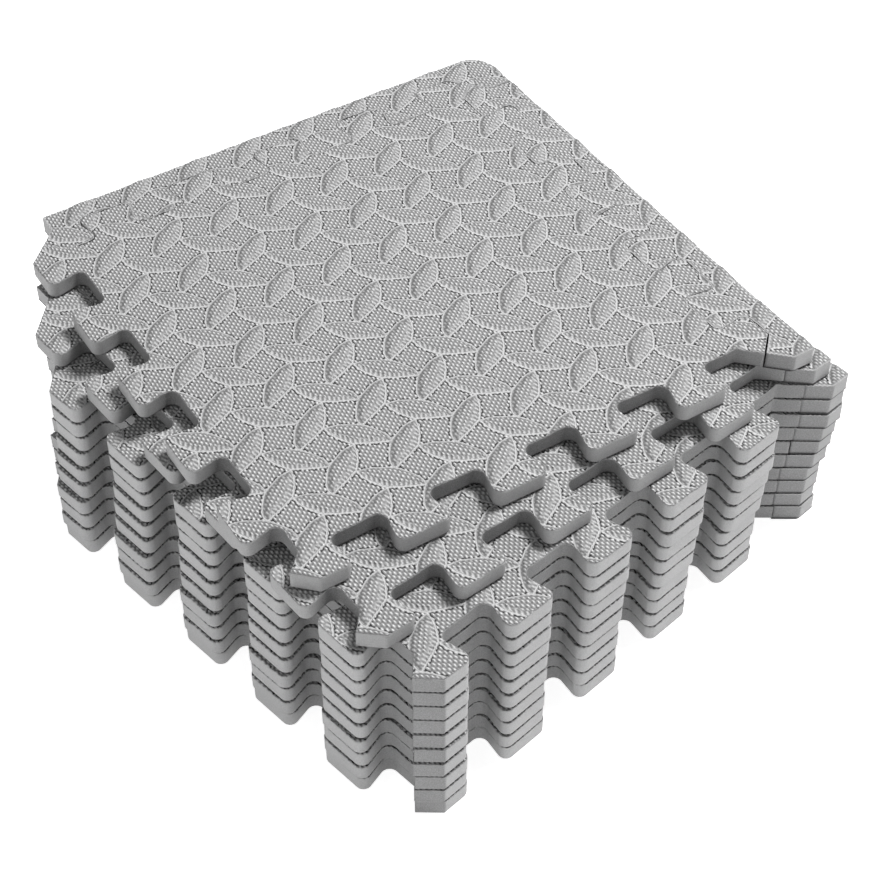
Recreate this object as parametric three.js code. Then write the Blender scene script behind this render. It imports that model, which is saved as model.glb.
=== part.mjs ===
// A stack of twelve interlocking foam tiles for blocking knitting.
// Each tile has a border strip in its back edge and another in its right edge.
// Millimetres, +Z up. The two edges with open sockets face -X (left) and -Y (front).

import * as THREE from "three";

// Driving dimensions
const TILE_COUNT = 12;
const TILE_SIDE = 304.8; // 12 in, measured to the middle of the interlocking teeth
const TEETH_PER_SIDE = 5;
const TOOTH_HALF_DEPTH = 11.5; // a tooth reaches this far past the tile's nominal edge
const TOOTH_TIP_HALF = 17.8; // half the width of a tooth at its tip, and of a socket at its back
const TOOTH_RADIUS = 6.8;
const ARC_STEP_LENGTH = 6.5; // an arc is drawn with flats of about this length
const THICKNESS = 11.8;
const LAYER_GAP = 0.3;
const SEAM_GAP = 0.3;
const STRIP_SIDE_EXTRA = 4.4; // how much further the two edges with strips lie from the middle
const BORDER_WIDTH = 26; // from the line of those teeth to the strip's straight outer edge
const BACK_CORNER_RADIUS = 18;
const CUT_CORNER_RADIUS = 2;

// How the tiles lie: a loose straight stack, with the top two fanned round clockwise.
// Each row is the tile's shift in X and Y, in millimetres, and its turn in degrees.
const LAY_OF_TILES = [
  [-1, 1.5, 0.6],
  [-2.5, 1.5, 0.8],
  [-2, 1, 0.7],
  [-2.5, 1, 0.6],
  [-0.5, 0, 0.2],
  [0.5, 0, -0.1],
  [1.5, -0.5, -0.4],
  [2.5, -1.5, -0.7],
  [2, -1, -0.6],
  [2, -1.5, -0.7],
  [6.5, 20, -5.2],
  [17, 44.5, -11.9],
];

// Look of the foam
const FOAM_COLOUR = 0xababab;
const FOAM_ROUGHNESS = 0.85;

// Sizes that follow from the driving dimensions
const PITCH = TILE_SIDE / TEETH_PER_SIDE;
const HALF_SIDE = TILE_SIDE / 2;
const OUTER = HALF_SIDE + STRIP_SIDE_EXTRA + BORDER_WIDTH;
const LENGTHENED_FROM = HALF_SIDE - 1.5 * TOOTH_HALF_DEPTH;

const point = (x, y, radius = 0) => ({ at: new THREE.Vector2(x, y), radius });

// Points of the arc that rounds one corner of an outline, or the corner itself where it is sharp.
function roundCorner(before, corner, after) {
  if (corner.radius === 0) return [corner.at.clone()];
  const into = corner.at.clone().sub(before.at).normalize();
  const onward = after.at.clone().sub(corner.at).normalize();
  const turn = Math.atan2(into.cross(onward), into.dot(onward));
  const reach = corner.radius * Math.tan(Math.abs(turn) / 2);
  const start = corner.at.clone().addScaledVector(into, -reach);
  const inward = new THREE.Vector2(-into.y, into.x).multiplyScalar(Math.sign(turn) * corner.radius);
  const centre = start.clone().add(inward);
  const steps = Math.ceil((corner.radius * Math.abs(turn)) / ARC_STEP_LENGTH);
  const arc = [];
  for (let step = 0; step <= steps; step++) {
    arc.push(start.clone().rotateAround(centre, (turn * step) / steps));
  }
  return arc;
}

// The corners along one side of a tile, from its left end to its right end as seen from outside.
// The side lies along y = -HALF_SIDE, with the tile above it.
function sideCorners() {
  const tipLine = -HALF_SIDE - TOOTH_HALF_DEPTH;
  const backLine = -HALF_SIDE + TOOTH_HALF_DEPTH;
  const corners = [point(-HALF_SIDE, -HALF_SIDE)];
  for (let tooth = 0; tooth < TEETH_PER_SIDE; tooth++) {
    const toothCentre = -HALF_SIDE + (tooth + 0.25) * PITCH;
    const socketCentre = toothCentre + PITCH / 2;
    const first = tooth === 0;
    const last = tooth === TEETH_PER_SIDE - 1;
    if (first) corners.push(point(-HALF_SIDE + TOOTH_HALF_DEPTH, tipLine));
    else corners.push(point(toothCentre - TOOTH_TIP_HALF, tipLine, TOOTH_RADIUS));
    corners.push(point(toothCentre + TOOTH_TIP_HALF, tipLine, TOOTH_RADIUS));
    corners.push(point(socketCentre - TOOTH_TIP_HALF, backLine, TOOTH_RADIUS));
    if (last) corners.push(point(HALF_SIDE - TOOTH_HALF_DEPTH, backLine));
    else corners.push(point(socketCentre + TOOTH_TIP_HALF, backLine, TOOTH_RADIUS));
  }
  return corners;
}

// One side as a line of points, ending just short of the next side's first corner.
function sideLine() {
  const corners = sideCorners();
  const end = point(HALF_SIDE, -HALF_SIDE);
  const line = [];
  corners.forEach((corner, i) => {
    const before = corners[i - 1] ?? corner;
    const after = corners[i + 1] ?? end;
    line.push(...roundCorner(before, corner, after));
  });
  return line;
}

const MIDDLE = new THREE.Vector2(0, 0);

function turned(points, quarterTurns) {
  return points.map((p) => p.clone().rotateAround(MIDDLE, (quarterTurns * Math.PI) / 2));
}

// The points with everything past the last teeth moved out, towards the strips.
function lengthened(points) {
  const moved = (value) => (value > LENGTHENED_FROM ? value + STRIP_SIDE_EXTRA : value);
  return points.map((p) => new THREE.Vector2(moved(p.x), moved(p.y)));
}

// A whole tile: the same side four times round, so any edge fits any other tile's edge.
function tileOutline() {
  const side = sideLine();
  return lengthened([0, 1, 2, 3].flatMap((quarter) => turned(side, quarter)));
}

// A line of points moved sideways to its right by a fixed distance.
function movedAside(points, distance) {
  return points.map((p, i) => {
    const into = p.clone().sub(points[i - 1] ?? p);
    const onward = (points[i + 1] ?? p).clone().sub(p);
    if (i === 0) into.copy(onward);
    if (i === points.length - 1) onward.copy(into);
    const bisector = into.normalize().add(onward.normalize()).normalize();
    const right = new THREE.Vector2(bisector.y, -bisector.x);
    return p.clone().addScaledVector(right, distance / bisector.dot(onward));
  });
}

// The edge that a strip shares with the tile's side, clear of it by the seam gap.
function seamLine(quarterTurns) {
  const side = sideLine();
  side.push(new THREE.Vector2(HALF_SIDE, -HALF_SIDE));
  return movedAside(lengthened(turned(side, quarterTurns)), SEAM_GAP);
}

// A closed outline from a seam line and the corners of the outer edge that completes it.
function stripOutline(seam, outerCorners) {
  const first = { at: seam[0], radius: 0 };
  const last = { at: seam[seam.length - 1], radius: 0 };
  const corners = [last, ...outerCorners, first];
  const outer = outerCorners.flatMap((corner, i) => roundCorner(corners[i], corner, corners[i + 2]));
  return [...seam, ...outer];
}

// The right strip runs from the front corner of the tile to the corner piece of the back strip.
function rightStripOutline() {
  const toothTips = HALF_SIDE + STRIP_SIDE_EXTRA + TOOTH_HALF_DEPTH;
  const backEnd = HALF_SIDE + STRIP_SIDE_EXTRA - TOOTH_HALF_DEPTH - SEAM_GAP;
  const frontEnd = -HALF_SIDE - TOOTH_HALF_DEPTH;
  return stripOutline(seamLine(1), [
    point(toothTips, backEnd),
    point(OUTER, backEnd),
    point(OUTER, frontEnd, CUT_CORNER_RADIUS),
    point(toothTips, frontEnd),
  ]);
}

// The back strip carries the rounded corner piece past the end of the tile.
function backStripOutline() {
  const toothTips = HALF_SIDE + STRIP_SIDE_EXTRA + TOOTH_HALF_DEPTH;
  const cornerFoot = HALF_SIDE + STRIP_SIDE_EXTRA - TOOTH_HALF_DEPTH;
  return stripOutline(seamLine(2), [
    point(-HALF_SIDE + TOOTH_HALF_DEPTH, toothTips),
    point(-HALF_SIDE + TOOTH_HALF_DEPTH, OUTER),
    point(OUTER, OUTER, BACK_CORNER_RADIUS),
    point(OUTER, cornerFoot),
    point(toothTips, cornerFoot),
  ]);
}

function foamPiece(name, outline) {
  const shape = new THREE.Shape(outline);
  const geometry = new THREE.ExtrudeGeometry(shape, { depth: THICKNESS, bevelEnabled: false });
  const material = new THREE.MeshStandardMaterial({
    color: FOAM_COLOUR,
    roughness: FOAM_ROUGHNESS,
    metalness: 0,
  });
  const mesh = new THREE.Mesh(geometry, material);
  mesh.name = name;
  return mesh;
}

// One layer of the stack: a tile with its two border strips.
function layer(index) {
  const [shiftX, shiftY, turn] = LAY_OF_TILES[index];
  const label = String(index + 1).padStart(2, "0");
  const group = new THREE.Group();
  group.add(foamPiece(`tile_${label}`, tileOutline()));
  group.add(foamPiece(`border_back_${label}`, backStripOutline()));
  group.add(foamPiece(`border_right_${label}`, rightStripOutline()));
  group.position.set(shiftX, shiftY, index * (THICKNESS + LAYER_GAP));
  group.rotation.z = THREE.MathUtils.degToRad(turn);
  return group;
}

// The stack stands on z = 0, with the middle of its box on the Z axis.
function centred(stack) {
  stack.updateMatrixWorld(true);
  const middle = new THREE.Box3().setFromObject(stack, true).getCenter(new THREE.Vector3());
  stack.position.set(-middle.x, -middle.y, 0);
  const root = new THREE.Group();
  root.add(stack);
  return root;
}

const stack = new THREE.Group();
for (let index = 0; index < TILE_COUNT; index++) stack.add(layer(index));

export default centred(stack);
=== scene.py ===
"""Looks for a stack of twelve interlocking foam tiles, each with two border strips.

Shapes are worked out flat, in millimetres, in a tile's own frame with the tile's middle at (0, 0).
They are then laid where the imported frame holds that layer's tile.
"""

import math

import bpy
import numpy as np
from mathutils import Matrix, Vector
from mathutils.geometry import delaunay_2d_cdt


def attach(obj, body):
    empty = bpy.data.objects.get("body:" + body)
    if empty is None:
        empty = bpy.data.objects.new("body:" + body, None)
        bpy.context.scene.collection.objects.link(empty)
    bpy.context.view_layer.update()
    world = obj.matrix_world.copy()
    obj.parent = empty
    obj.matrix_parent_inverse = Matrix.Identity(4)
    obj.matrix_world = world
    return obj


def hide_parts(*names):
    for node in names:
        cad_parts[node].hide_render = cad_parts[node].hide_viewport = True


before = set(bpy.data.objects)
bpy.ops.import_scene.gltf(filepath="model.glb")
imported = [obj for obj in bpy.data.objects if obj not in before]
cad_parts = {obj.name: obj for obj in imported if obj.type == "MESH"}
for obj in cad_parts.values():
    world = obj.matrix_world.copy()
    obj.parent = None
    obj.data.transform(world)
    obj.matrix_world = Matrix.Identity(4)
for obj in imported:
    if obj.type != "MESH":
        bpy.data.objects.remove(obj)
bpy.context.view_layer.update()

MM = 0.001
LAYER_COUNT = 12

# The flat shape of a tile and its strips: the part's own sizes, but for the rounding of the teeth
TILE_SIDE = 304.8
TEETH_PER_SIDE = 5
TOOTH_HALF_DEPTH = 11.5
TOOTH_TIP_HALF = 17.8
TOOTH_RADIUS = 5.2  # 6.8 on the part's plain solids
STRIP_SIDE_EXTRA = 4.4
BORDER_WIDTH = 26.0
BACK_CORNER_RADIUS = 18.0
CUT_CORNER_RADIUS = 2.0
PITCH = TILE_SIDE / TEETH_PER_SIDE
HALF_SIDE = TILE_SIDE / 2
LENGTHENED_FROM = HALF_SIDE - 1.5 * TOOTH_HALF_DEPTH
TOOTH_TIPS = HALF_SIDE + STRIP_SIDE_EXTRA + TOOTH_HALF_DEPTH
OUTER = HALF_SIDE + STRIP_SIDE_EXTRA + BORDER_WIDTH
OUTER_PARTS_FROM = TOOTH_TIPS - 1

# How finely outlines are drawn
ARC_STEP = 0.9
EDGE_STEP = 0.55
SHARP_TURN = 0.45  # a corner that turns more than this, in radians, is a sharp one
SHARP_CLEAR = 1.2  # no other point of an outline lies this near a sharp corner
LEAST_COSINE = 0.35  # keeps an offset from running out too far at a sharp corner
CURVE_PIECES = 8  # between two given points of a curve
FAR = 1e9
BAND_POINTS = 1500
FACE_TOLERANCE = 1e-4
SOLE_TOLERANCE = 1e-5

# Seams between a tile and its strips
SEAM_SHUT = 0.03
SEAM_FREE = 0.6  # stands for an edge that is no seam at all
END_GAP = 0.15  # between the right strip's back end and the corner piece

# Places where a seam gapes: the middle of the place, how far it reaches, and the gap
SEAM_OPENINGS = [
    (162, -148, 11, 0.12), (-134, 145, 19, 0.8), (-121, 161, 6, 0.6), (-148, 152, 8, 0.6),
    (145, 133, 15, 0.4), (166, 148, 9, 0.4), (168, 120, 8, 0.35), (145, 68, 8, 0.3),
    (157, -25, 9, 0.3), (20, 145, 9, 0.3), (-60, 157, 8, 0.3),
]
OPENING_FADE = 1.6  # over 1, so that the middle of such a place is fully open

# How far each right strip stands off at its front end, from the lowest sheet up
FRONT_GAPS = (0.6, 0.35, 0.15, 0.12, 0.15, 1.1, 0.1, 0.03, 0.03, 0.05, 0.4, 1.2)
FRONT_GAP_FROM = -110
FRONT_GAP_LENGTH = 45

# The embossed face: leaves in two mirrored families on one repeat, over a field of small dots
REPEAT_ACROSS = 38.64
REPEAT_ALONG = 37.70
REPEAT_TURN = math.radians(-2.03)
ACROSS = np.array([math.cos(REPEAT_TURN), math.sin(REPEAT_TURN)])
ALONG = np.array([-math.sin(REPEAT_TURN), math.cos(REPEAT_TURN)])
LEAF_MIDDLE = (-9.2, 44.8)
FACE_LEVEL = 10.70  # height of the ground between the dots above the tile's underside
CROWN = 0.85  # how far the middle of a leaf stands up from the ground
RISE_WIDTH = 2.9
FALL_WIDTH = 9.0
FALL_POWER = 0.7

# The strips are cut from other sheets, so their leaves don't meet the tile's
BACK_PATTERN_SHIFT = (4.0, 15.5)
RIGHT_PATTERN_SHIFT = (1.0, -11.5)

# One leaf from its lower left tip to its upper right tip: the high edge, then the low edge
HIGH_EDGE = [
    (-13.4, -13.2), (-14.2, -11.0), (-13.7, -7.5), (-12.2, -4.1), (-10.5, -1.2), (-8.5, 1.9),
    (-5.6, 5.4), (-2.6, 7.5), (0.2, 8.9), (3.2, 10.7), (6.4, 12.2), (9.8, 12.9), (13.3, 13.1),
]
LOW_EDGE = [
    (-13.4, -13.2), (-10.4, -12.0), (-7.4, -10.8), (-4.8, -9.7), (-1.9, -8.5), (0.6, -7.0),
    (3.4, -5.7), (5.6, -4.5), (7.2, -2.4), (9.1, 0.5), (10.7, 3.2), (12.0, 5.9), (13.0, 8.7),
    (13.3, 13.1),
]
RIM_STEP = 1.4
LEAF_REACH = 25  # no part of a leaf lies further than this from its middle

# The raised rim of a leaf with a painted highlight along it, and the pits between the dots just
# outside it, sunk and with painted shade
RIM_HEIGHT = 0.50
RIM_HALF = 0.30
RIM_FOOT = 0.36
# half width of the painted highlight along a rim, under which the dots also fade
RIM_LIGHT_HALF = 0.40
RIM_CLEAR = 9.0  # a distance from any rim at which no rim shows
PIT_DEPTH = 0.25
PIT_MIDDLE = 1.2
PIT_HALF = 0.4
PIT_LEVEL = 0.12  # the pits' painted shade lies where the wave of the dots is lower than this

# The field of dots: a wave both ways, and a second wave that draws them into rows
DOTS_PER_REPEAT = 20
DOT_SHIFT = -0.6
DOT_HEIGHT = 0.50
DOT_WAVE = 0.5
ROW_WAVE = 0.25
DOT_LIFT = 0.25
DOT_RIM_CLEAR = 0.3
DOT_RIM_FADE = 0.4

# The ribs along a leaf's low edge, and the groove behind them in the unmirrored family
RIB_START = 0.5
RIB_START_FADE = 0.4
RIB_BAND = 3.3
RIB_BAND_FADE = 0.6
RIB_HIGH_CLEAR = 2.6
RIB_HIGH_FADE = 1.2
RIB_TURN = (0.70, 0.27)  # how fast the ribs follow each other, in dots across and along
RIB_LIFT = 0.14
RIB_WAVE = 0.12
GROOVE_MIDDLE = 3.9
GROOVE_HALF = 0.45
GROOVE_HIGH_CLEAR = 3
GROOVE_DEPTH = 0.15
# painted shade in the groove behind the ribs
GROOVE_PAINTED_SHADE = 0.4
GROOVE_DOTS = 0.8

# The nearly bare flank inside the high edge of a leaf, by whether the leaf is mirrored
BARE_BAND = {False: 2.6, True: 1.4}
DOTS_BACK_FROM = 0.5  # in widths of that band
# painted shade on that flank, standing in for the shade of its slope: where it fades out, and how
# dark it is
TONE_FADES_FROM = 0.6
FLANK_DOTS = 0.35
FLANK_PAINTED_SHADE = -1.35

# How the face, its edge and its rims are meshed
EDGE_ROUND = 0.45
EDGE_DROP = 0.25
LEAST_DROP = 0.08  # the share of that drop along a shut seam
RIM_END_GAP = 0.35
DOT_END_GAP = 0.5
DOT_RIM_GAP = 0.32

# Walls, from the top down, as shares of the edge's height, and the rounded lower edge
WALL_ROWS = (0.93, 0.5, 0.14)
FOOT_ROWS = ((0.9, 0.0), (0.27, 0.27), (0.0, 0.9))  # rise and inset
DARK_ROWS = 2  # how many of the lowest rows get the foot's painted shade
STRIP_FOOT = 0.3  # the share of that rounding on the strips' straight outer edges

# Painted shade on parts of the walls: how much lighter or darker their colour is made, standing in
# for shade that the scene's light does not give. Below zero is darker.
# painted shade in the crevices on the rounded lower edge, where one sheet sits on the next
FOOT_PAINTED_SHADE = -2.0
SEAM_PAINTED_SHADE = -2.2  # painted shade inside the seams between a tile and its strips
CORNER_PAINTED_SHADE = {False: -1.1, True: -0.45}  # painted shade on the tile's cut front corner, by whether it is fanned
CORNER_REACH = 1.45 * TOOTH_HALF_DEPTH
STRIP_END_PAINTED_SHADE = -1.05  # painted shade on the slanting end where a strip's front meets the tile's
STRIP_END_NEAR = 0.6
STRIP_SIDE_PAINTED_SHADE = -0.3  # painted shade on the strips' straight outer edges
SOCKET_PAINTED_SHADE = -0.95  # painted shade at the back of an open socket
SOCKET_MARGIN = 3
FANNED_PAINTED_SHADE = -0.45  # painted shade on the walls of the fanned sheets, for the less light they get from the table
FANNED_FROM = 11

# How far each sheet's face has sunk, from the lowest sheet up, and its slight waves
SUNK = (0.1, 0.5, 0.15, 0.4, 0.1, 0.55, 0.2, 0.35, 0.6, 0.15, 0.3, 0.0)
SUNK_ABOVE = 0.8 * FACE_LEVEL
SHEET_WAVE = 0.09
WAVE_LENGTHS = (37, 51, 83)  # across, along and slanting, in millimetres to a radian
WAVE_SHIFTS = (1.7, 2.3, 0.9)  # from one sheet to the next, in radians
TURN_STEPS = (0.02, 0.002, 0.0002, 0.00002)  # radians
TURN_TRIES = np.arange(-15, 16)

# The foam's colour is a tint of this tone. Besides the foam's random blotches and specks, the tint
# holds painted highlights and shade: lighter dot tops and rims, darker gaps, pits, leaf flanks,
# grooves, seams and parts of the walls.
FOAM_TONE = 0.41
FOAM_WARMTH = (1.0, 1.0, 1.005)
TINT_BASE = 0.62
TINT_LEAST = 0.10
TINT_BLOTCH = 0.12
TINT_SPECK = 0.70
# painted highlight and shade of the dots and ribs: lighter where they stand up, darker between them;
# the next value evens out its mean
PATTERN_PAINTED_SHADING = 1.45
DOTS_PAINTED_SHADING_OFFSET = -0.69
# how much the painted shade carried on the mesh darkens the colour
TINT_SHADE = 0.34
# painted highlight along the rims
RIM_PAINTED_HIGHLIGHT = 0.62
# painted shade in the pits just outside the rims
PIT_PAINTED_SHADE = 2.6
RIB_TINT = 0.3
WEAVE_LIFT = 0.5
WEAVE_WOBBLE = 0.5
WEAVE_DEPTH = 0.9 * MM
GRAIN_STRENGTH = 0.5
GRAIN_DEPTH = 0.12 * MM
FOAM_IOR = 1.45
FOAM_SPECULAR = 0.3
ROUGHNESS = 0.72
ROUGHNESS_GRAIN = 0.2

# Noises of the foam: scale per metre, detail and roughness
WOBBLES = (420, 2, 0.5)
BLOTCHES = (45, 3, 0.5)
SPECKS = (1500, 2, 0.7)
GRAIN = (2600, 3, 0.6)

# Stage, in metres and watts
FLOOR_HALF = 30.0
FLOOR_TONE = 0.9
FLOOR_ROUGHNESS = 0.9
FLOOR_GLOW = 0.8
WORLD_STRENGTH = 0.24
LIT_POINT = (0, 0, 0.05)
KEY_LIGHT = {"location": (1.1, -0.35, 2.25), "size": 0.8, "power": 67}
FILL_LIGHT = {"location": (-2.2, 0.1, 0.8), "size": 1.2, "power": 6}
CAMERA_AT = Vector((-0.5928, -0.6341, 0.9051))
CAMERA_AIM = Vector((-0.0543, -0.0151, 0.0700))
CAMERA_ROLL = math.radians(-2.21)
LENS = 80.0
SENSOR = 36.0
FRAMING_SHIFT = 0.0875
FAR_CLIP = 50


# ---------- flat outlines ----------


def unit(v):
    return v / np.hypot(*v)


def smooth(x):
    x = np.clip(x, 0, 1)
    return x * x * (3 - 2 * x)


def ridge(distance, half_width):
    return np.exp(-((distance / half_width) ** 2))


def round_corner(before, corner, after, radius):
    """Points of the arc that rounds a corner, or the corner itself where it is sharp."""
    if radius == 0:
        return [corner]
    into, onward = unit(corner - before), unit(after - corner)
    turn = math.atan2(into[0] * onward[1] - into[1] * onward[0], into @ onward)
    start = corner - into * radius * math.tan(abs(turn) / 2)
    side = math.copysign(1, turn)
    centre = start + np.array([-into[1], into[0]]) * side * radius
    steps = max(2, math.ceil(radius * abs(turn) / ARC_STEP))
    arc = []
    for step in range(steps + 1):
        angle = turn * step / steps
        c, s = math.cos(angle), math.sin(angle)
        d = start - centre
        arc.append(centre + np.array([d[0] * c - d[1] * s, d[0] * s + d[1] * c]))
    return arc


def side_corners():
    """The corners along the side at y = -HALF_SIDE, each with its rounding radius."""
    tip, back = -HALF_SIDE - TOOTH_HALF_DEPTH, -HALF_SIDE + TOOTH_HALF_DEPTH
    corners = [(-HALF_SIDE, -HALF_SIDE, 0)]
    for tooth in range(TEETH_PER_SIDE):
        middle = -HALF_SIDE + (tooth + 0.25) * PITCH
        socket = middle + PITCH / 2
        if tooth == 0:
            corners.append((-HALF_SIDE + TOOTH_HALF_DEPTH, tip, 0))
        else:
            corners.append((middle - TOOTH_TIP_HALF, tip, TOOTH_RADIUS))
        corners.append((middle + TOOTH_TIP_HALF, tip, TOOTH_RADIUS))
        corners.append((socket - TOOTH_TIP_HALF, back, TOOTH_RADIUS))
        if tooth == TEETH_PER_SIDE - 1:
            corners.append((HALF_SIDE - TOOTH_HALF_DEPTH, back, 0))
        else:
            corners.append((socket + TOOTH_TIP_HALF, back, TOOTH_RADIUS))
    return corners


def rounded(corners):
    """The points of an open line with its inner corners rounded."""
    at = [np.array(corner[:2], float) for corner in corners]
    line = [at[0]]
    for i in range(1, len(at) - 1):
        line.extend(round_corner(at[i - 1], at[i], at[i + 1], corners[i][2]))
    line.append(at[-1])
    return np.array(line)


def resampled(line):
    """The same open line with no stretch longer than EDGE_STEP."""
    points = []
    for a, b in zip(line, line[1:]):
        pieces = max(1, math.ceil(np.hypot(*(b - a)) / EDGE_STEP))
        points.extend(a + (b - a) * k / pieces for k in range(pieces))
    points.append(line[-1])
    return np.array(points)


def quarter_turned(points, quarters):
    c, s = round(math.cos(quarters * math.pi / 2)), round(math.sin(quarters * math.pi / 2))
    return points @ np.array([[c, s], [-s, c]], float)


def lengthened(points):
    """The points with everything past the last teeth moved out, towards the strips."""
    return points + STRIP_SIDE_EXTRA * (points > LENGTHENED_FROM)


def side_line(quarters):
    corners = side_corners() + [(HALF_SIDE, -HALF_SIDE, 0)]
    return resampled(lengthened(quarter_turned(rounded(corners), quarters)))


def tile_outline():
    """The outline of a tile, and how far open the seam is at each of its points."""
    sides = [side_line(quarters)[:-1] for quarters in range(4)]
    gaps = [np.full(len(sides[0]), SEAM_FREE), seam_gap(sides[1]), seam_gap(sides[2]),
            np.full(len(sides[3]), SEAM_FREE)]
    return np.vstack(sides), np.concatenate(gaps)


def normals_of(line, closed):
    """The outward direction at each point of an anticlockwise line, sized to keep an offset even."""
    before = np.roll(line, 1, 0)
    after = np.roll(line, -1, 0)
    if not closed:
        before[0], after[-1] = 2 * line[0] - line[1], 2 * line[-1] - line[-2]
    into = line - before
    onward = after - line
    into /= np.hypot(*into.T)[:, None]
    onward /= np.hypot(*onward.T)[:, None]
    middle = into + onward
    middle /= np.hypot(*middle.T)[:, None]
    stretch = np.clip((middle * onward).sum(1), LEAST_COSINE, 1)
    return np.c_[middle[:, 1], -middle[:, 0]] / stretch[:, None]


def seam_gap(line):
    """How far open the seam is at each point: shut but for a few places."""
    gap = np.full(len(line), SEAM_SHUT)
    for x, y, reach, width in SEAM_OPENINGS:
        distance = np.hypot(line[:, 0] - x, line[:, 1] - y)
        gap = np.maximum(gap, width * smooth(OPENING_FADE * (1 - distance / reach)))
    return gap


def seam_line(quarters):
    """The strip's side of a seam, and how far open the seam is at each point."""
    side = side_line(quarters)
    gap = seam_gap(side)
    return side + normals_of(side, False) * gap[:, None], gap


def strip_outline(seam, gap, outer):
    corners = [(*seam[-1], 0), *outer, (*seam[0], 0)]
    edge = resampled(rounded(corners))[1:-1]
    return np.vstack([seam, edge]), np.concatenate([gap, np.full(len(edge), SEAM_FREE)])


def right_strip_outline():
    back_end = HALF_SIDE + STRIP_SIDE_EXTRA - TOOTH_HALF_DEPTH - END_GAP
    front_end = -HALF_SIDE - TOOTH_HALF_DEPTH
    return strip_outline(*seam_line(1), [
        (TOOTH_TIPS, back_end, 0),
        (OUTER, back_end, 0),
        (OUTER, front_end, CUT_CORNER_RADIUS),
        (TOOTH_TIPS, front_end, 0),
    ])


def back_strip_outline():
    foot = HALF_SIDE + STRIP_SIDE_EXTRA - TOOTH_HALF_DEPTH
    return strip_outline(*seam_line(2), [
        (-HALF_SIDE + TOOTH_HALF_DEPTH, TOOTH_TIPS, 0),
        (-HALF_SIDE + TOOTH_HALF_DEPTH, OUTER, 0),
        (OUTER, OUTER, BACK_CORNER_RADIUS),
        (OUTER, foot, 0),
        (TOOTH_TIPS, foot, 0),
    ])


# ---------- the embossed face ----------


def curve_through(points):
    """A smooth open curve through the points, with about one vertex per RIM_STEP."""
    p = np.array(points, float)
    p = np.vstack([2 * p[0] - p[1], p, 2 * p[-1] - p[-2]])
    fine = []
    for i in range(1, len(p) - 2):
        for t in np.linspace(0, 1, CURVE_PIECES, endpoint=False):
            a, b, c, d = p[i - 1 : i + 3]
            fine.append(0.5 * (2 * b + (c - a) * t + (2 * a - 5 * b + 4 * c - d) * t**2
                               + (3 * b - a - 3 * c + d) * t**3))
    fine.append(p[-2])
    fine = np.array(fine)
    run = np.r_[0, np.cumsum(np.hypot(*np.diff(fine, axis=0).T))]
    count = max(2, round(run[-1] / RIM_STEP))
    at = np.linspace(0, run[-1], count + 1)
    return np.c_[np.interp(at, run, fine[:, 0]), np.interp(at, run, fine[:, 1])]


HIGH_LINE = curve_through(HIGH_EDGE)
LOW_LINE = curve_through(LOW_EDGE)
LEAF_LOOP = np.vstack([HIGH_LINE, LOW_LINE[::-1][1:-1]])


def repeat_coordinates(points):
    """Where points lie on the repeat, in repeats, from the middle of a leaf."""
    d = points - np.array(LEAF_MIDDLE)
    return np.c_[d @ ACROSS / REPEAT_ACROSS, d @ ALONG / REPEAT_ALONG]


def distance_to(line, points):
    best = np.full(len(points), FAR)
    for a, b in zip(line[:-1], line[1:]):
        d = b - a
        t = np.clip(((points - a) @ d) / (d @ d), 0, 1)
        best = np.minimum(best, np.hypot(*(points - a - t[:, None] * d).T))
    return best


def inside_of(loop, points):
    """Which points lie inside a closed outline, worked out one band of rows at a time."""
    result = np.zeros(len(points), bool)
    after = np.roll(loop, -1, 0)
    top, bottom = np.maximum(loop[:, 1], after[:, 1]), np.minimum(loop[:, 1], after[:, 1])
    order = np.argsort(points[:, 1])
    for band in np.array_split(order, max(1, len(points) // BAND_POINTS)):
        if len(band) == 0:
            continue
        px, py = points[band].T
        near = (top >= py.min()) & (bottom <= py.max())
        odd = np.zeros(len(band), bool)
        for (x0, y0), (x1, y1) in zip(loop[near], after[near]):
            if y0 == y1:
                continue
            spans = (py >= min(y0, y1)) & (py < max(y0, y1))
            odd ^= spans & (px < x0 + (py - y0) * (x1 - x0) / (y1 - y0))
        result[band] = odd
    return result


def place_in_leaf(repeats, mirrored):
    """Each point's place in the nearest leaf of one family, in millimetres, as if unmirrored."""
    r = repeats - (0.5 if mirrored else 0.0)
    r = (r - np.round(r)) * np.array([REPEAT_ACROSS, REPEAT_ALONG])
    if mirrored:
        r[:, 0] *= -1
    return r


def leaf_relief(p, mirrored):
    """Height, dot share, rib share, painted shade and edge distance of one family of leaves."""
    high, low = distance_to(HIGH_LINE, p), distance_to(LOW_LINE, p)
    inside = inside_of(LEAF_LOOP, p)
    edge = np.minimum(high, low)
    body = CROWN * smooth(high / RISE_WIDTH) * np.clip(low / FALL_WIDTH, 0, 1) ** FALL_POWER
    height = np.maximum(np.where(inside, body, 0), RIM_HEIGHT * ridge(edge, RIM_HALF))
    ribs = smooth((low - RIB_START) / RIB_START_FADE) * smooth((RIB_BAND - low) / RIB_BAND_FADE)
    ribs = np.where(inside, ribs * smooth((high - RIB_HIGH_CLEAR) / RIB_HIGH_FADE), 0)
    bare = BARE_BAND[mirrored]
    dots = FLANK_DOTS + (1 - FLANK_DOTS) * smooth((high - DOTS_BACK_FROM * bare) / bare)
    dots = np.where(inside, dots, 1)
    # painted shade on the nearly bare flank inside the high edge
    painted_shade = np.where(inside, FLANK_PAINTED_SHADE * (1 - smooth((high - TONE_FADES_FROM * bare) / bare)), 0)
    if not mirrored:
        groove = ridge(low - GROOVE_MIDDLE, GROOVE_HALF) * smooth(high - GROOVE_HIGH_CLEAR)
        groove = np.where(inside, groove, 0)
        height = height - GROOVE_DEPTH * groove
        # painted shade in the groove
        painted_shade = painted_shade - GROOVE_PAINTED_SHADE * groove
        dots = dots * (1 - GROOVE_DOTS * groove)
    return height, dots, ribs, painted_shade, edge, inside


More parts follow.
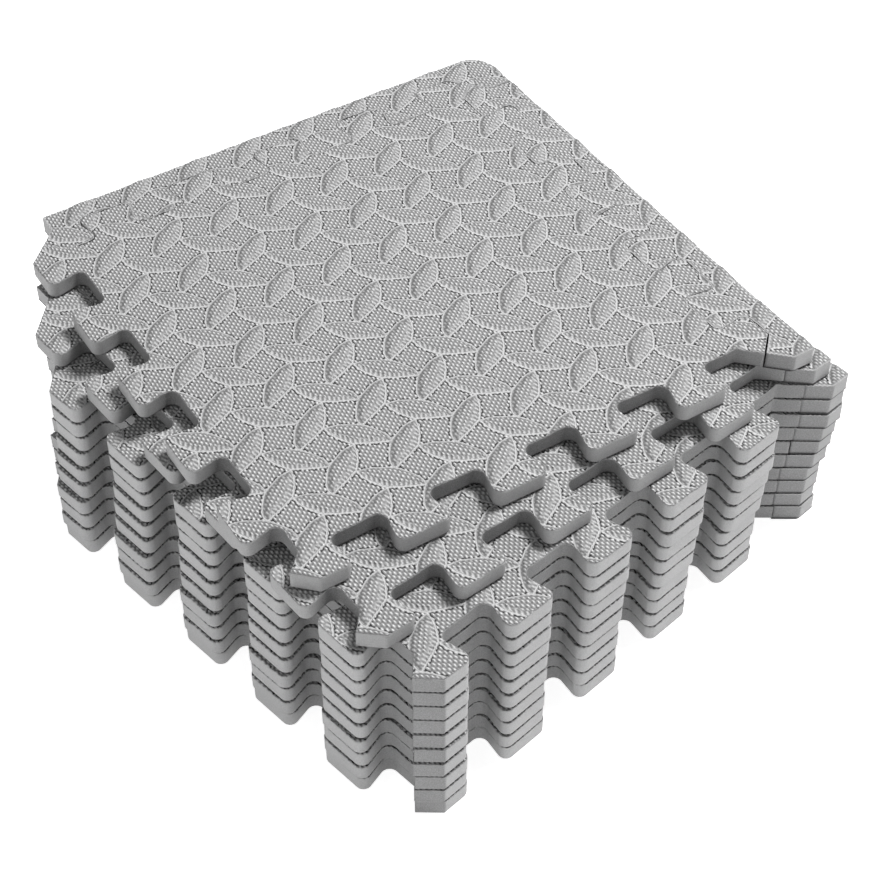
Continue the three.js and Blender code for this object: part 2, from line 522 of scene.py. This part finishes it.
def face_of(points):
    """Height of the face above its ground, and what the fine pattern and its painted shade are at
    each point.

    The last value is the distance from the nearest rim, below zero inside a leaf.
    """
    repeats = repeat_coordinates(points)
    n = len(points)
    height, ribs, phase, painted_shade = np.zeros(n), np.zeros(n), np.zeros(n), np.zeros(n)
    dots, edge, covered = np.ones(n), np.full(n, FAR), np.zeros(n, bool)
    dots_x = repeats[:, 0] * DOTS_PER_REPEAT
    dots_y = (repeats[:, 1] * REPEAT_ALONG - DOT_SHIFT) / REPEAT_ALONG * DOTS_PER_REPEAT
    for mirrored in (False, True):
        p = place_in_leaf(repeats, mirrored)
        own_height, own_dots, own_ribs, own_painted_shade, own_edge, inside = leaf_relief(p, mirrored)
        height = np.maximum(height, own_height)
        dots = np.minimum(dots, own_dots)
        painted_shade = np.minimum(painted_shade, own_painted_shade)
        sign = -1 if mirrored else 1
        phase = np.where(inside, sign * RIB_TURN[0] * dots_x + RIB_TURN[1] * dots_y, phase)
        ribs = np.maximum(ribs, own_ribs)
        edge = np.minimum(edge, own_edge)
        covered |= inside
    edge = np.where(covered, -edge, edge)
    height = height - PIT_DEPTH * ridge(edge - PIT_MIDDLE, PIT_HALF)
    dots = dots * (1 - ribs)
    bump = DOT_WAVE * np.cos(np.pi * dots_x) * np.cos(np.pi * dots_y)
    bump = bump + ROW_WAVE * np.cos(2 * np.pi * dots_x)
    raised = dots * smooth((np.abs(edge) - DOT_RIM_CLEAR) / DOT_RIM_FADE)
    height = height + DOT_HEIGHT * raised * (bump + DOT_LIFT)
    height = height + ribs * (RIB_LIFT + RIB_WAVE * np.cos(2 * np.pi * phase))
    return height, np.c_[dots_x, dots_y, dots], np.c_[phase, ribs, painted_shade], edge


def rim_lines(outline):
    """The crest and the two feet of every rim that crosses the piece."""
    low, high = outline.min(0) - LEAF_REACH, outline.max(0) + LEAF_REACH
    corners = np.array([(low[0], low[1]), (low[0], high[1]), (high[0], low[1]), (high[0], high[1])])
    r = repeat_coordinates(corners)
    columns = range(math.floor(r[:, 0].min()), math.ceil(r[:, 0].max()) + 1)
    rows = range(math.floor(r[:, 1].min()), math.ceil(r[:, 1].max()) + 1)
    leaves = [(mirrored, i, j) for mirrored in (False, True) for i in columns for j in rows]
    lines = []
    for mirrored, i, j in leaves:
        shift = 0.5 if mirrored else 0.0
        flip = np.array([-1.0 if mirrored else 1.0, 1.0])
        middle = np.array([(i + shift) * REPEAT_ACROSS, (j + shift) * REPEAT_ALONG])
        for line in (HIGH_LINE, LOW_LINE):
            for foot in (-RIM_FOOT, 0, RIM_FOOT):
                p = (line + normals_of(line, False) * foot) * flip + middle
                lines.append(np.array(LEAF_MIDDLE) + p[:, :1] * ACROSS + p[:, 1:] * ALONG)
    return lines


def dot_lattice(outline):
    """Points at the tops, feet and saddles of the dots, over the whole piece."""
    corners = np.array([(x, y) for x in (outline[:, 0].min(), outline[:, 0].max())
                        for y in (outline[:, 1].min(), outline[:, 1].max())])
    r = repeat_coordinates(corners) * 2 * DOTS_PER_REPEAT
    i0, j0 = np.floor(r.min(0)).astype(int) - 1
    i1, j1 = np.ceil(r.max(0)).astype(int) + 2
    i, j = np.meshgrid(np.arange(i0, i1), np.arange(j0, j1))
    keep = (i + j) % 2 == 0
    a = i[keep] / (2 * DOTS_PER_REPEAT) * REPEAT_ACROSS
    b = j[keep] / (2 * DOTS_PER_REPEAT) * REPEAT_ALONG + DOT_SHIFT
    return np.array(LEAF_MIDDLE) + a[:, None] * ACROSS + b[:, None] * ALONG


def near_outline(points, outline, reach):
    """Which points lie within reach of the outline, found on a coarse grid."""
    cell = reach * 2
    near = np.zeros(len(points), bool)
    buckets = {}
    for k, (x, y) in enumerate(np.floor(points / cell).astype(int)):
        buckets.setdefault((x, y), []).append(k)
    for a, b in zip(outline, np.roll(outline, -1, 0)):
        cx, cy = np.floor((a + b) / 2 / cell).astype(int)
        found = [k for x in (cx - 1, cx, cx + 1) for y in (cy - 1, cy, cy + 1)
                 for k in buckets.get((x, y), ())]
        if found:
            p = points[found]
            d = b - a
            t = np.clip(((p - a) @ d) / (d @ d), 0, 1)
            near[found] |= np.hypot(*(p - a - t[:, None] * d).T) < reach
    return near


def rims_within(outline, inner, first):
    """The rims' points clear of the piece's edge, and the edges between them, numbered from first."""
    lines = rim_lines(outline)
    points = np.vstack(lines)
    clear = inside_of(inner, points) & ~near_outline(points, outline, EDGE_ROUND + RIM_END_GAP)
    number = first + np.cumsum(clear) - 1
    edges = []
    start = 0
    for line in lines:
        edges += [(int(number[k]), int(number[k + 1]))
                  for k in range(start, start + len(line) - 1) if clear[k] and clear[k + 1]]
        start += len(line)
    return points[clear], edges


def dots_within(outline, inner):
    """The dots' points clear of the piece's edge and of the rims."""
    dots = dot_lattice(outline)
    dots = dots[inside_of(inner, dots)]
    dots = dots[~near_outline(dots, outline, EDGE_ROUND + DOT_END_GAP)]
    return dots[np.abs(face_of(dots)[-1]) > RIM_FOOT + DOT_RIM_GAP]


def only_within(outline, verts, faces):
    """The triangles whose middles lie inside the outline."""
    return faces[inside_of(outline, verts[faces].mean(1))]


def flat_face(outline):
    """Triangles over the piece that follow its edge, its rims and its dots.

    The last value says which vertex each point of the outline became.
    """
    inner = outline - normals_of(outline, True) * EDGE_ROUND
    n = len(outline)
    edges = [(k, (k + 1) % n) for k in range(n)]
    edges += [(n + k, n + (k + 1) % n) for k in range(n)]
    rims, rim_edges = rims_within(outline, inner, 2 * n)
    flat = np.vstack([outline, inner, rims, dots_within(outline, inner)])
    made = delaunay_2d_cdt([Vector(p) for p in flat], edges + rim_edges, [], 1, FACE_TOLERANCE, True)
    verts = np.array([(v.x, v.y) for v in made[0]])
    faces = only_within(outline, verts, np.array(made[2]))
    became = {old: new for new, olds in enumerate(made[3]) for old in olds if old < n}
    return verts, faces, np.array([became[k] for k in range(n)])


# ---------- solid pieces ----------


def uncrowded(outline):
    """Which points to keep so that none sits too near a sharp corner to be inset."""
    into = outline - np.roll(outline, 1, 0)
    onward = np.roll(outline, -1, 0) - outline
    cross = into[:, 0] * onward[:, 1] - into[:, 1] * onward[:, 0]
    sharp = outline[np.abs(np.arctan2(cross, (into * onward).sum(1))) > SHARP_TURN]
    reach = np.hypot(*(outline[:, None] - sharp[None]).transpose(2, 0, 1)).min(1)
    return (reach < 1e-6) | (reach > SHARP_CLEAR)


def past_teeth(points):
    """Which points lie on the strips' outer parts, past the tips of the teeth."""
    return points.max(1) > OUTER_PARTS_FROM


def wall_painted_shade(points, fanned):
    """Painted shade on a sheet's walls: how much darker the cut ends, the cut corner, the strips'
    outer edges, the backs of the open sockets and the fanned sheets' walls are made.
    """
    x, y = points.T
    depth = points.min(1) + HALF_SIDE + TOOTH_HALF_DEPTH
    share = smooth((depth - SOCKET_MARGIN) / (2 * TOOTH_HALF_DEPTH - 2 * SOCKET_MARGIN))
    painted_shade = SOCKET_PAINTED_SHADE * share + FANNED_PAINTED_SHADE * fanned
    corner = np.hypot(x + HALF_SIDE, y + HALF_SIDE) < CORNER_REACH
    painted_shade = np.where(corner, CORNER_PAINTED_SHADE[fanned], painted_shade)
    painted_shade = np.where(past_teeth(points), STRIP_SIDE_PAINTED_SHADE, painted_shade)
    slanting = (x > HALF_SIDE / 2) & (np.abs(x + y - STRIP_SIDE_EXTRA) < STRIP_END_NEAR)
    return np.where(slanting, STRIP_END_PAINTED_SHADE, painted_shade)


def embossed_top(outline, gap):
    """Vertices, triangles, outline's vertices and pattern values of a piece's upper face."""
    flat, triangles, rim = flat_face(outline)
    height, dots, ribs, from_rim = face_of(flat)
    height[rim] -= EDGE_DROP * np.clip(gap / SEAM_FREE, LEAST_DROP, 1)
    dots[rim, 2] = 0
    ribs[rim, 1:] = 0
    from_rim[rim] = RIM_CLEAR
    patterns = {"dots": dots, "ribs": ribs, "from_rim": from_rim}
    return np.c_[flat, FACE_LEVEL + height], triangles, rim, patterns


def wall_rows(outline, edge_height, rounding):
    """The rows of vertices down the walls and round the lower edge, from the top."""
    outward = normals_of(outline, True)
    rows = [np.c_[outline, edge_height * share] for share in WALL_ROWS]
    for rise, inset in FOOT_ROWS:
        rows.append(np.c_[outline - outward * (inset * rounding)[:, None], rise * rounding])
    return rows


def band_faces(rings):
    """The faces between each ring of vertices and the next one down."""
    faces = []
    n = len(rings[0])
    for upper, lower in zip(rings, rings[1:]):
        for k in range(n):
            q = (k + 1) % n
            if upper[k] == upper[q]:
                faces.append((int(upper[k]), int(lower[k]), int(lower[q])))
            else:
                faces.append((int(upper[k]), int(lower[k]), int(lower[q]), int(upper[q])))
    return faces


def sole_faces(foot, ring):
    """The triangles of the underside, within the lowest ring of vertices."""
    n = len(foot)
    loop = [(k, (k + 1) % n) for k in range(n)]
    made = delaunay_2d_cdt([Vector(p) for p in foot], loop, [], 1, SOLE_TOLERANCE, True)
    base = [int(ring[olds[0]]) for olds in made[3]]
    sole = only_within(foot, np.array([(v.x, v.y) for v in made[0]]), np.array(made[2]))
    return [tuple(base[v] for v in reversed(face)) for face in sole]


def with_walls(patterns, gap, row_count):
    """The pattern values of a whole piece, from those of its upper face, with painted shade inside
    the seams and on the rounded lower edge.
    """
    n = len(gap)
    plain = np.zeros((n * row_count, 3))
    shut = gap < SEAM_FREE
    shut &= np.roll(shut, 1) & np.roll(shut, -1)
    ribs = plain.copy()
    # painted shade inside the shut seams
    ribs[:, 2] = np.tile(SEAM_PAINTED_SHADE * shut, row_count)
    # painted shade on the rounded lower edge
    ribs[-DARK_ROWS * n :, 2] = FOOT_PAINTED_SHADE
    clear = np.full(len(plain), RIM_CLEAR)
    return {
        "dots": np.vstack([patterns["dots"], plain]),
        "ribs": np.vstack([patterns["ribs"], ribs]),
        "from_rim": np.concatenate([patterns["from_rim"], clear]),
    }


def solid_piece(outline, gap, pattern_shift=(0.0, 0.0)):
    """Vertices, faces, pattern values and which vertices are walls, of a closed foam piece."""
    keep = uncrowded(outline)
    outline, gap = outline[keep], gap[keep]
    rounding = np.where(past_teeth(outline), STRIP_FOOT, 1.0)
    outline = outline - pattern_shift
    tops, triangles, rim, patterns = embossed_top(outline, gap)
    rows = wall_rows(outline, tops[rim, 2], rounding)
    n = len(outline)
    rings = [rim] + [len(tops) + n * k + np.arange(n) for k in range(len(rows))]
    faces = [tuple(int(v) for v in face) for face in triangles]
    faces += band_faces(rings)
    faces += sole_faces(rows[-1][:, :2], rings[-1])
    vertices = np.vstack([tops, *rows])
    vertices[:, :2] += pattern_shift
    is_wall = np.zeros(len(vertices), bool)
    is_wall[len(tops) : -DARK_ROWS * n] = True
    return vertices, faces, with_walls(patterns, gap, len(rows)), is_wall


# ---------- laying the pieces ----------


def turned_by(points, angle):
    c, s = math.cos(angle), math.sin(angle)
    return points @ np.array([[c, s], [-s, c]])


def place_of(tile_node):
    """Where a CAD tile lies: its middle, its turn and its underside, in millimetres and radians.

    The turn is the one at which the tile's own box is smallest.
    """
    co = np.array([v.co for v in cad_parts[tile_node].data.vertices]) / MM
    flat = co[:, :2]
    turn = 0.0
    for step in TURN_STEPS:
        tries = turn + step * TURN_TRIES
        turn = min(tries, key=lambda angle: np.ptp(turned_by(flat, -angle), axis=0).sum())
    low = turned_by(flat, -turn).min(0)
    middle = turned_by(low + HALF_SIDE + TOOTH_HALF_DEPTH, turn)
    return middle, turn, co[:, 2].min()


def unevenness(points, layer):
    """The slight wave of one sheet of foam, in millimetres."""
    x, y = points[:, 0], points[:, 1]
    across, along, slanting = (way / length + shift * layer for way, length, shift
                               in zip((x, y, x + y), WAVE_LENGTHS, WAVE_SHIFTS))
    return SHEET_WAVE * (np.sin(across) * np.cos(along) + np.sin(slanting))


def laid(kind, vertices, layer, place):
    """A piece's vertices where its layer lies, with the sheet's own unevenness."""
    middle, turn, underside = place
    points = vertices.copy()
    if kind == "border_right":
        share = smooth((FRONT_GAP_FROM - vertices[:, 1]) / FRONT_GAP_LENGTH)
        points[:, 0] += FRONT_GAPS[layer - 1] * share
    points[:, :2] = turned_by(points[:, :2], turn) + middle
    sunk = SUNK[layer - 1] * (vertices[:, 2] > SUNK_ABOVE)
    points[:, 2] = underside + np.maximum(vertices[:, 2] + unevenness(vertices, layer) - sunk, 0)
    return points


def body_of_piece(kind, layer):
    if layer == LAYER_COUNT and kind != "tile":
        return {"border_back": "top_back_strip", "border_right": "top_right_strip"}[kind]
    return f"layer_{layer:02d}"


def add_piece(kind, shape, layer, place, material):
    """One visible piece of a layer, in place, on its body and standing for its CAD node."""
    vertices, faces, patterns, is_wall = shape
    node = f"{kind}_{layer:02d}"
    mesh = bpy.data.meshes.new(f"foam_{node}")
    mesh.from_pydata([tuple(p) for p in laid(kind, vertices, layer, place) * MM], [], faces)
    ribs = patterns["ribs"].copy()
    # painted shade on the walls: cut ends, cut corner, strip edges, socket backs and fanned sheets
    painted_shade = wall_painted_shade(vertices[is_wall, :2], layer >= FANNED_FROM)
    ribs[is_wall, 2] = np.minimum(ribs[is_wall, 2], painted_shade)
    for name, values in (("dots", patterns["dots"]), ("ribs", ribs)):
        attribute = mesh.attributes.new(name, "FLOAT_VECTOR", "POINT")
        attribute.data.foreach_set("vector", values.astype(np.float32).ravel())
    attribute = mesh.attributes.new("from_rim", "FLOAT", "POINT")
    attribute.data.foreach_set("value", patterns["from_rim"].astype(np.float32))
    mesh.shade_smooth()
    piece = bpy.data.objects.new(f"foam_{node}", mesh)
    bpy.context.scene.collection.objects.link(piece)
    mesh.materials.append(material)
    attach(piece, body_of_piece(kind, layer))
    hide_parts(node)


# ---------- foam ----------


class Graph:
    """Short ways to add shader nodes to one material."""

    def __init__(self, material):
        self.nodes = material.node_tree.nodes
        self.links = material.node_tree.links
        self.place = self.add("ShaderNodeTexCoord").outputs["Object"]

    def add(self, kind, **settings):
        node = self.nodes.new(kind)
        for key, value in settings.items():
            setattr(node, key, value)
        return node

    def maths(self, operation, *values):
        node = self.add("ShaderNodeMath", operation=operation)
        for socket, value in zip(node.inputs, values):
            if isinstance(value, (int, float)):
                socket.default_value = value
            else:
                self.links.new(value, socket)
        return node.outputs[0]

    def plus(self, a, b):
        return self.maths("ADD", a, b)

    def times(self, a, b):
        return self.maths("MULTIPLY", a, b)

    def cosine(self, a, factor):
        return self.maths("COSINE", self.times(a, factor))

    def ridge(self, value, middle, half_width):
        scaled = self.times(self.maths("SUBTRACT", value, middle), 1 / half_width)
        return self.maths("EXPONENT", self.times(self.times(scaled, scaled), -1.0))

    def noise(self, scale, detail, roughness):
        node = self.add("ShaderNodeTexNoise")
        node.inputs["Scale"].default_value = scale
        node.inputs["Detail"].default_value = detail
        node.inputs["Roughness"].default_value = roughness
        self.links.new(self.place, node.inputs["Vector"])
        return node.outputs["Fac"]

    def attribute(self, name):
        """The three values of a vector attribute of the mesh."""
        split = self.add("ShaderNodeSeparateXYZ")
        node = self.add("ShaderNodeAttribute", attribute_name=name)
        self.links.new(node.outputs["Vector"], split.inputs[0])
        return split.outputs

    def bump(self, height, strength, distance):
        node = self.add("ShaderNodeBump")
        node.inputs["Strength"].default_value = strength
        node.inputs["Distance"].default_value = distance
        self.links.new(height, node.inputs["Height"])
        return node


def dot_wave(graph, dots_x, dots_y):
    """The height of the field of dots, as on the mesh but with a slight wobble."""
    wobble = graph.times(graph.maths("SUBTRACT", graph.noise(*WOBBLES), 0.5), WEAVE_WOBBLE)
    dots_x = graph.plus(dots_x, wobble)
    both_ways = graph.times(graph.cosine(dots_x, math.pi), graph.cosine(dots_y, math.pi))
    rows = graph.cosine(dots_x, 2 * math.pi)
    return graph.plus(graph.times(both_ways, DOT_WAVE), graph.times(rows, ROW_WAVE))


def foam_tint(graph, pattern, dot_share, shade, rim, pit):
    """The foam's brightness, from its blotches and specks, with painted highlights and shade: lighter
    dot tops and rims, darker gaps, pits, flanks, grooves, seams and wall parts.
    """
    tint = graph.plus(graph.times(graph.noise(*BLOTCHES), TINT_BLOTCH),
                      graph.times(graph.noise(*SPECKS), TINT_SPECK))
    tint = graph.plus(tint, graph.times(pattern, PATTERN_PAINTED_SHADING))
    tint = graph.plus(tint, graph.times(dot_share, DOTS_PAINTED_SHADING_OFFSET))
    tint = graph.plus(tint, graph.times(shade, TINT_SHADE))
    tint = graph.plus(tint, graph.times(rim, RIM_PAINTED_HIGHLIGHT))
    tint = graph.maths("SUBTRACT", tint, graph.times(pit, PIT_PAINTED_SHADE))
    tint = graph.maths("MAXIMUM", graph.plus(tint, TINT_BASE), TINT_LEAST)
    return graph.times(tint, FOAM_TONE)


def foam_material(name):
    material = bpy.data.materials.new(name)
    material.use_nodes = True
    graph = Graph(material)
    shader = graph.nodes["Principled BSDF"]
    shader.inputs["IOR"].default_value = FOAM_IOR
    shader.inputs["Specular IOR Level"].default_value = FOAM_SPECULAR

    dots_x, dots_y, dot_share = graph.attribute("dots")
    # the ribs attribute also carries the painted shade of flanks, grooves, seams and walls
    phase, rib_share, shade = graph.attribute("ribs")
    from_rim = graph.add("ShaderNodeAttribute", attribute_name="from_rim").outputs["Fac"]
    # painted highlight along the rims, over which the dots fade
    rim = graph.ridge(from_rim, 0.0, RIM_LIGHT_HALF)
    dot_share = graph.times(dot_share, graph.maths("SUBTRACT", 1.0, rim))
    wave = dot_wave(graph, dots_x, dots_y)
    # painted shade in the low spots of the dots' wave near the rims
    low_spot = graph.maths("MAXIMUM", graph.maths("SUBTRACT", PIT_LEVEL, wave), 0.0)
    pit = graph.times(graph.ridge(from_rim, PIT_MIDDLE, PIT_HALF), low_spot)
    dots = graph.times(graph.plus(wave, WEAVE_LIFT), dot_share)
    ribs = graph.times(graph.times(graph.cosine(phase, 2 * math.pi), RIB_TINT), rib_share)
    pattern = graph.plus(dots, ribs)

    grain = graph.noise(*GRAIN)
    fine = graph.bump(grain, GRAIN_STRENGTH, GRAIN_DEPTH)
    weave = graph.bump(pattern, 1.0, WEAVE_DEPTH)
    graph.links.new(fine.outputs["Normal"], weave.inputs["Normal"])
    graph.links.new(weave.outputs["Normal"], shader.inputs["Normal"])

    tint = foam_tint(graph, pattern, dot_share, shade, rim, pit)
    colour = graph.add("ShaderNodeCombineColor")
    for channel, warmth in enumerate(FOAM_WARMTH):
        graph.links.new(graph.times(tint, warmth), colour.inputs[channel])
    graph.links.new(colour.outputs[0], shader.inputs["Base Color"])
    rough = graph.plus(graph.times(grain, ROUGHNESS_GRAIN), ROUGHNESS)
    graph.links.new(rough, shader.inputs["Roughness"])
    return material


# ---------- stage ----------


def add_floor():
    mesh = bpy.data.meshes.new("floor")
    half = FLOOR_HALF
    corners = [(-half, -half, 0), (half, -half, 0), (half, half, 0), (-half, half, 0)]
    mesh.from_pydata(corners, [], [(0, 1, 2, 3)])
    material = bpy.data.materials.new("floor")
    material.use_nodes = True
    shader = material.node_tree.nodes["Principled BSDF"]
    shader.inputs["Base Color"].default_value = (FLOOR_TONE, FLOOR_TONE, FLOOR_TONE, 1)
    shader.inputs["Roughness"].default_value = FLOOR_ROUGHNESS
    shader.inputs["Emission Color"].default_value = (1, 1, 1, 1)
    shader.inputs["Emission Strength"].default_value = FLOOR_GLOW
    mesh.materials.append(material)
    floor = bpy.data.objects.new("floor", mesh)
    bpy.context.scene.collection.objects.link(floor)


def aimed(location, target):
    return (Vector(target) - Vector(location)).to_track_quat("-Z", "Y")


def add_light(name, location, size, power):
    data = bpy.data.lights.new(name, "AREA")
    data.shape = "DISK"
    data.size = size
    data.energy = power
    lamp = bpy.data.objects.new(name, data)
    lamp.location = location
    lamp.rotation_euler = aimed(location, LIT_POINT).to_euler()
    bpy.context.scene.collection.objects.link(lamp)


def add_world():
    world = bpy.data.worlds.new("studio")
    world.use_nodes = True
    background = world.node_tree.nodes["Background"]
    background.inputs["Color"].default_value = (1, 1, 1, 1)
    background.inputs["Strength"].default_value = WORLD_STRENGTH
    bpy.context.scene.world = world


def add_camera():
    data = bpy.data.cameras.new("camera")
    data.lens = LENS
    data.sensor_width = SENSOR
    data.shift_x = FRAMING_SHIFT
    data.clip_end = FAR_CLIP
    camera = bpy.data.objects.new("camera", data)
    look = aimed(CAMERA_AT, CAMERA_AIM).to_matrix().to_4x4()
    camera.matrix_world = Matrix.Translation(CAMERA_AT) @ look @ Matrix.Rotation(CAMERA_ROLL, 4, "Z")
    bpy.context.scene.collection.objects.link(camera)
    bpy.context.scene.camera = camera


# ---------- the whole scene ----------


def add_stack():
    shapes = {
        "tile": solid_piece(*tile_outline()),
        "border_back": solid_piece(*back_strip_outline(), BACK_PATTERN_SHIFT),
        "border_right": solid_piece(*right_strip_outline(), RIGHT_PATTERN_SHIFT),
    }
    tile_foam, border_foam = foam_material("tile_foam"), foam_material("border_foam")
    for layer in range(1, LAYER_COUNT + 1):
        place = place_of(f"tile_{layer:02d}")
        for kind, shape in shapes.items():
            add_piece(kind, shape, layer, place, tile_foam if kind == "tile" else border_foam)


add_stack()
add_floor()
add_world()
add_light("key", **KEY_LIGHT)
add_light("fill", **FILL_LIGHT)
add_camera()
bpy.context.scene.view_settings.view_transform = "Standard"

bpy.context.view_layer.update()
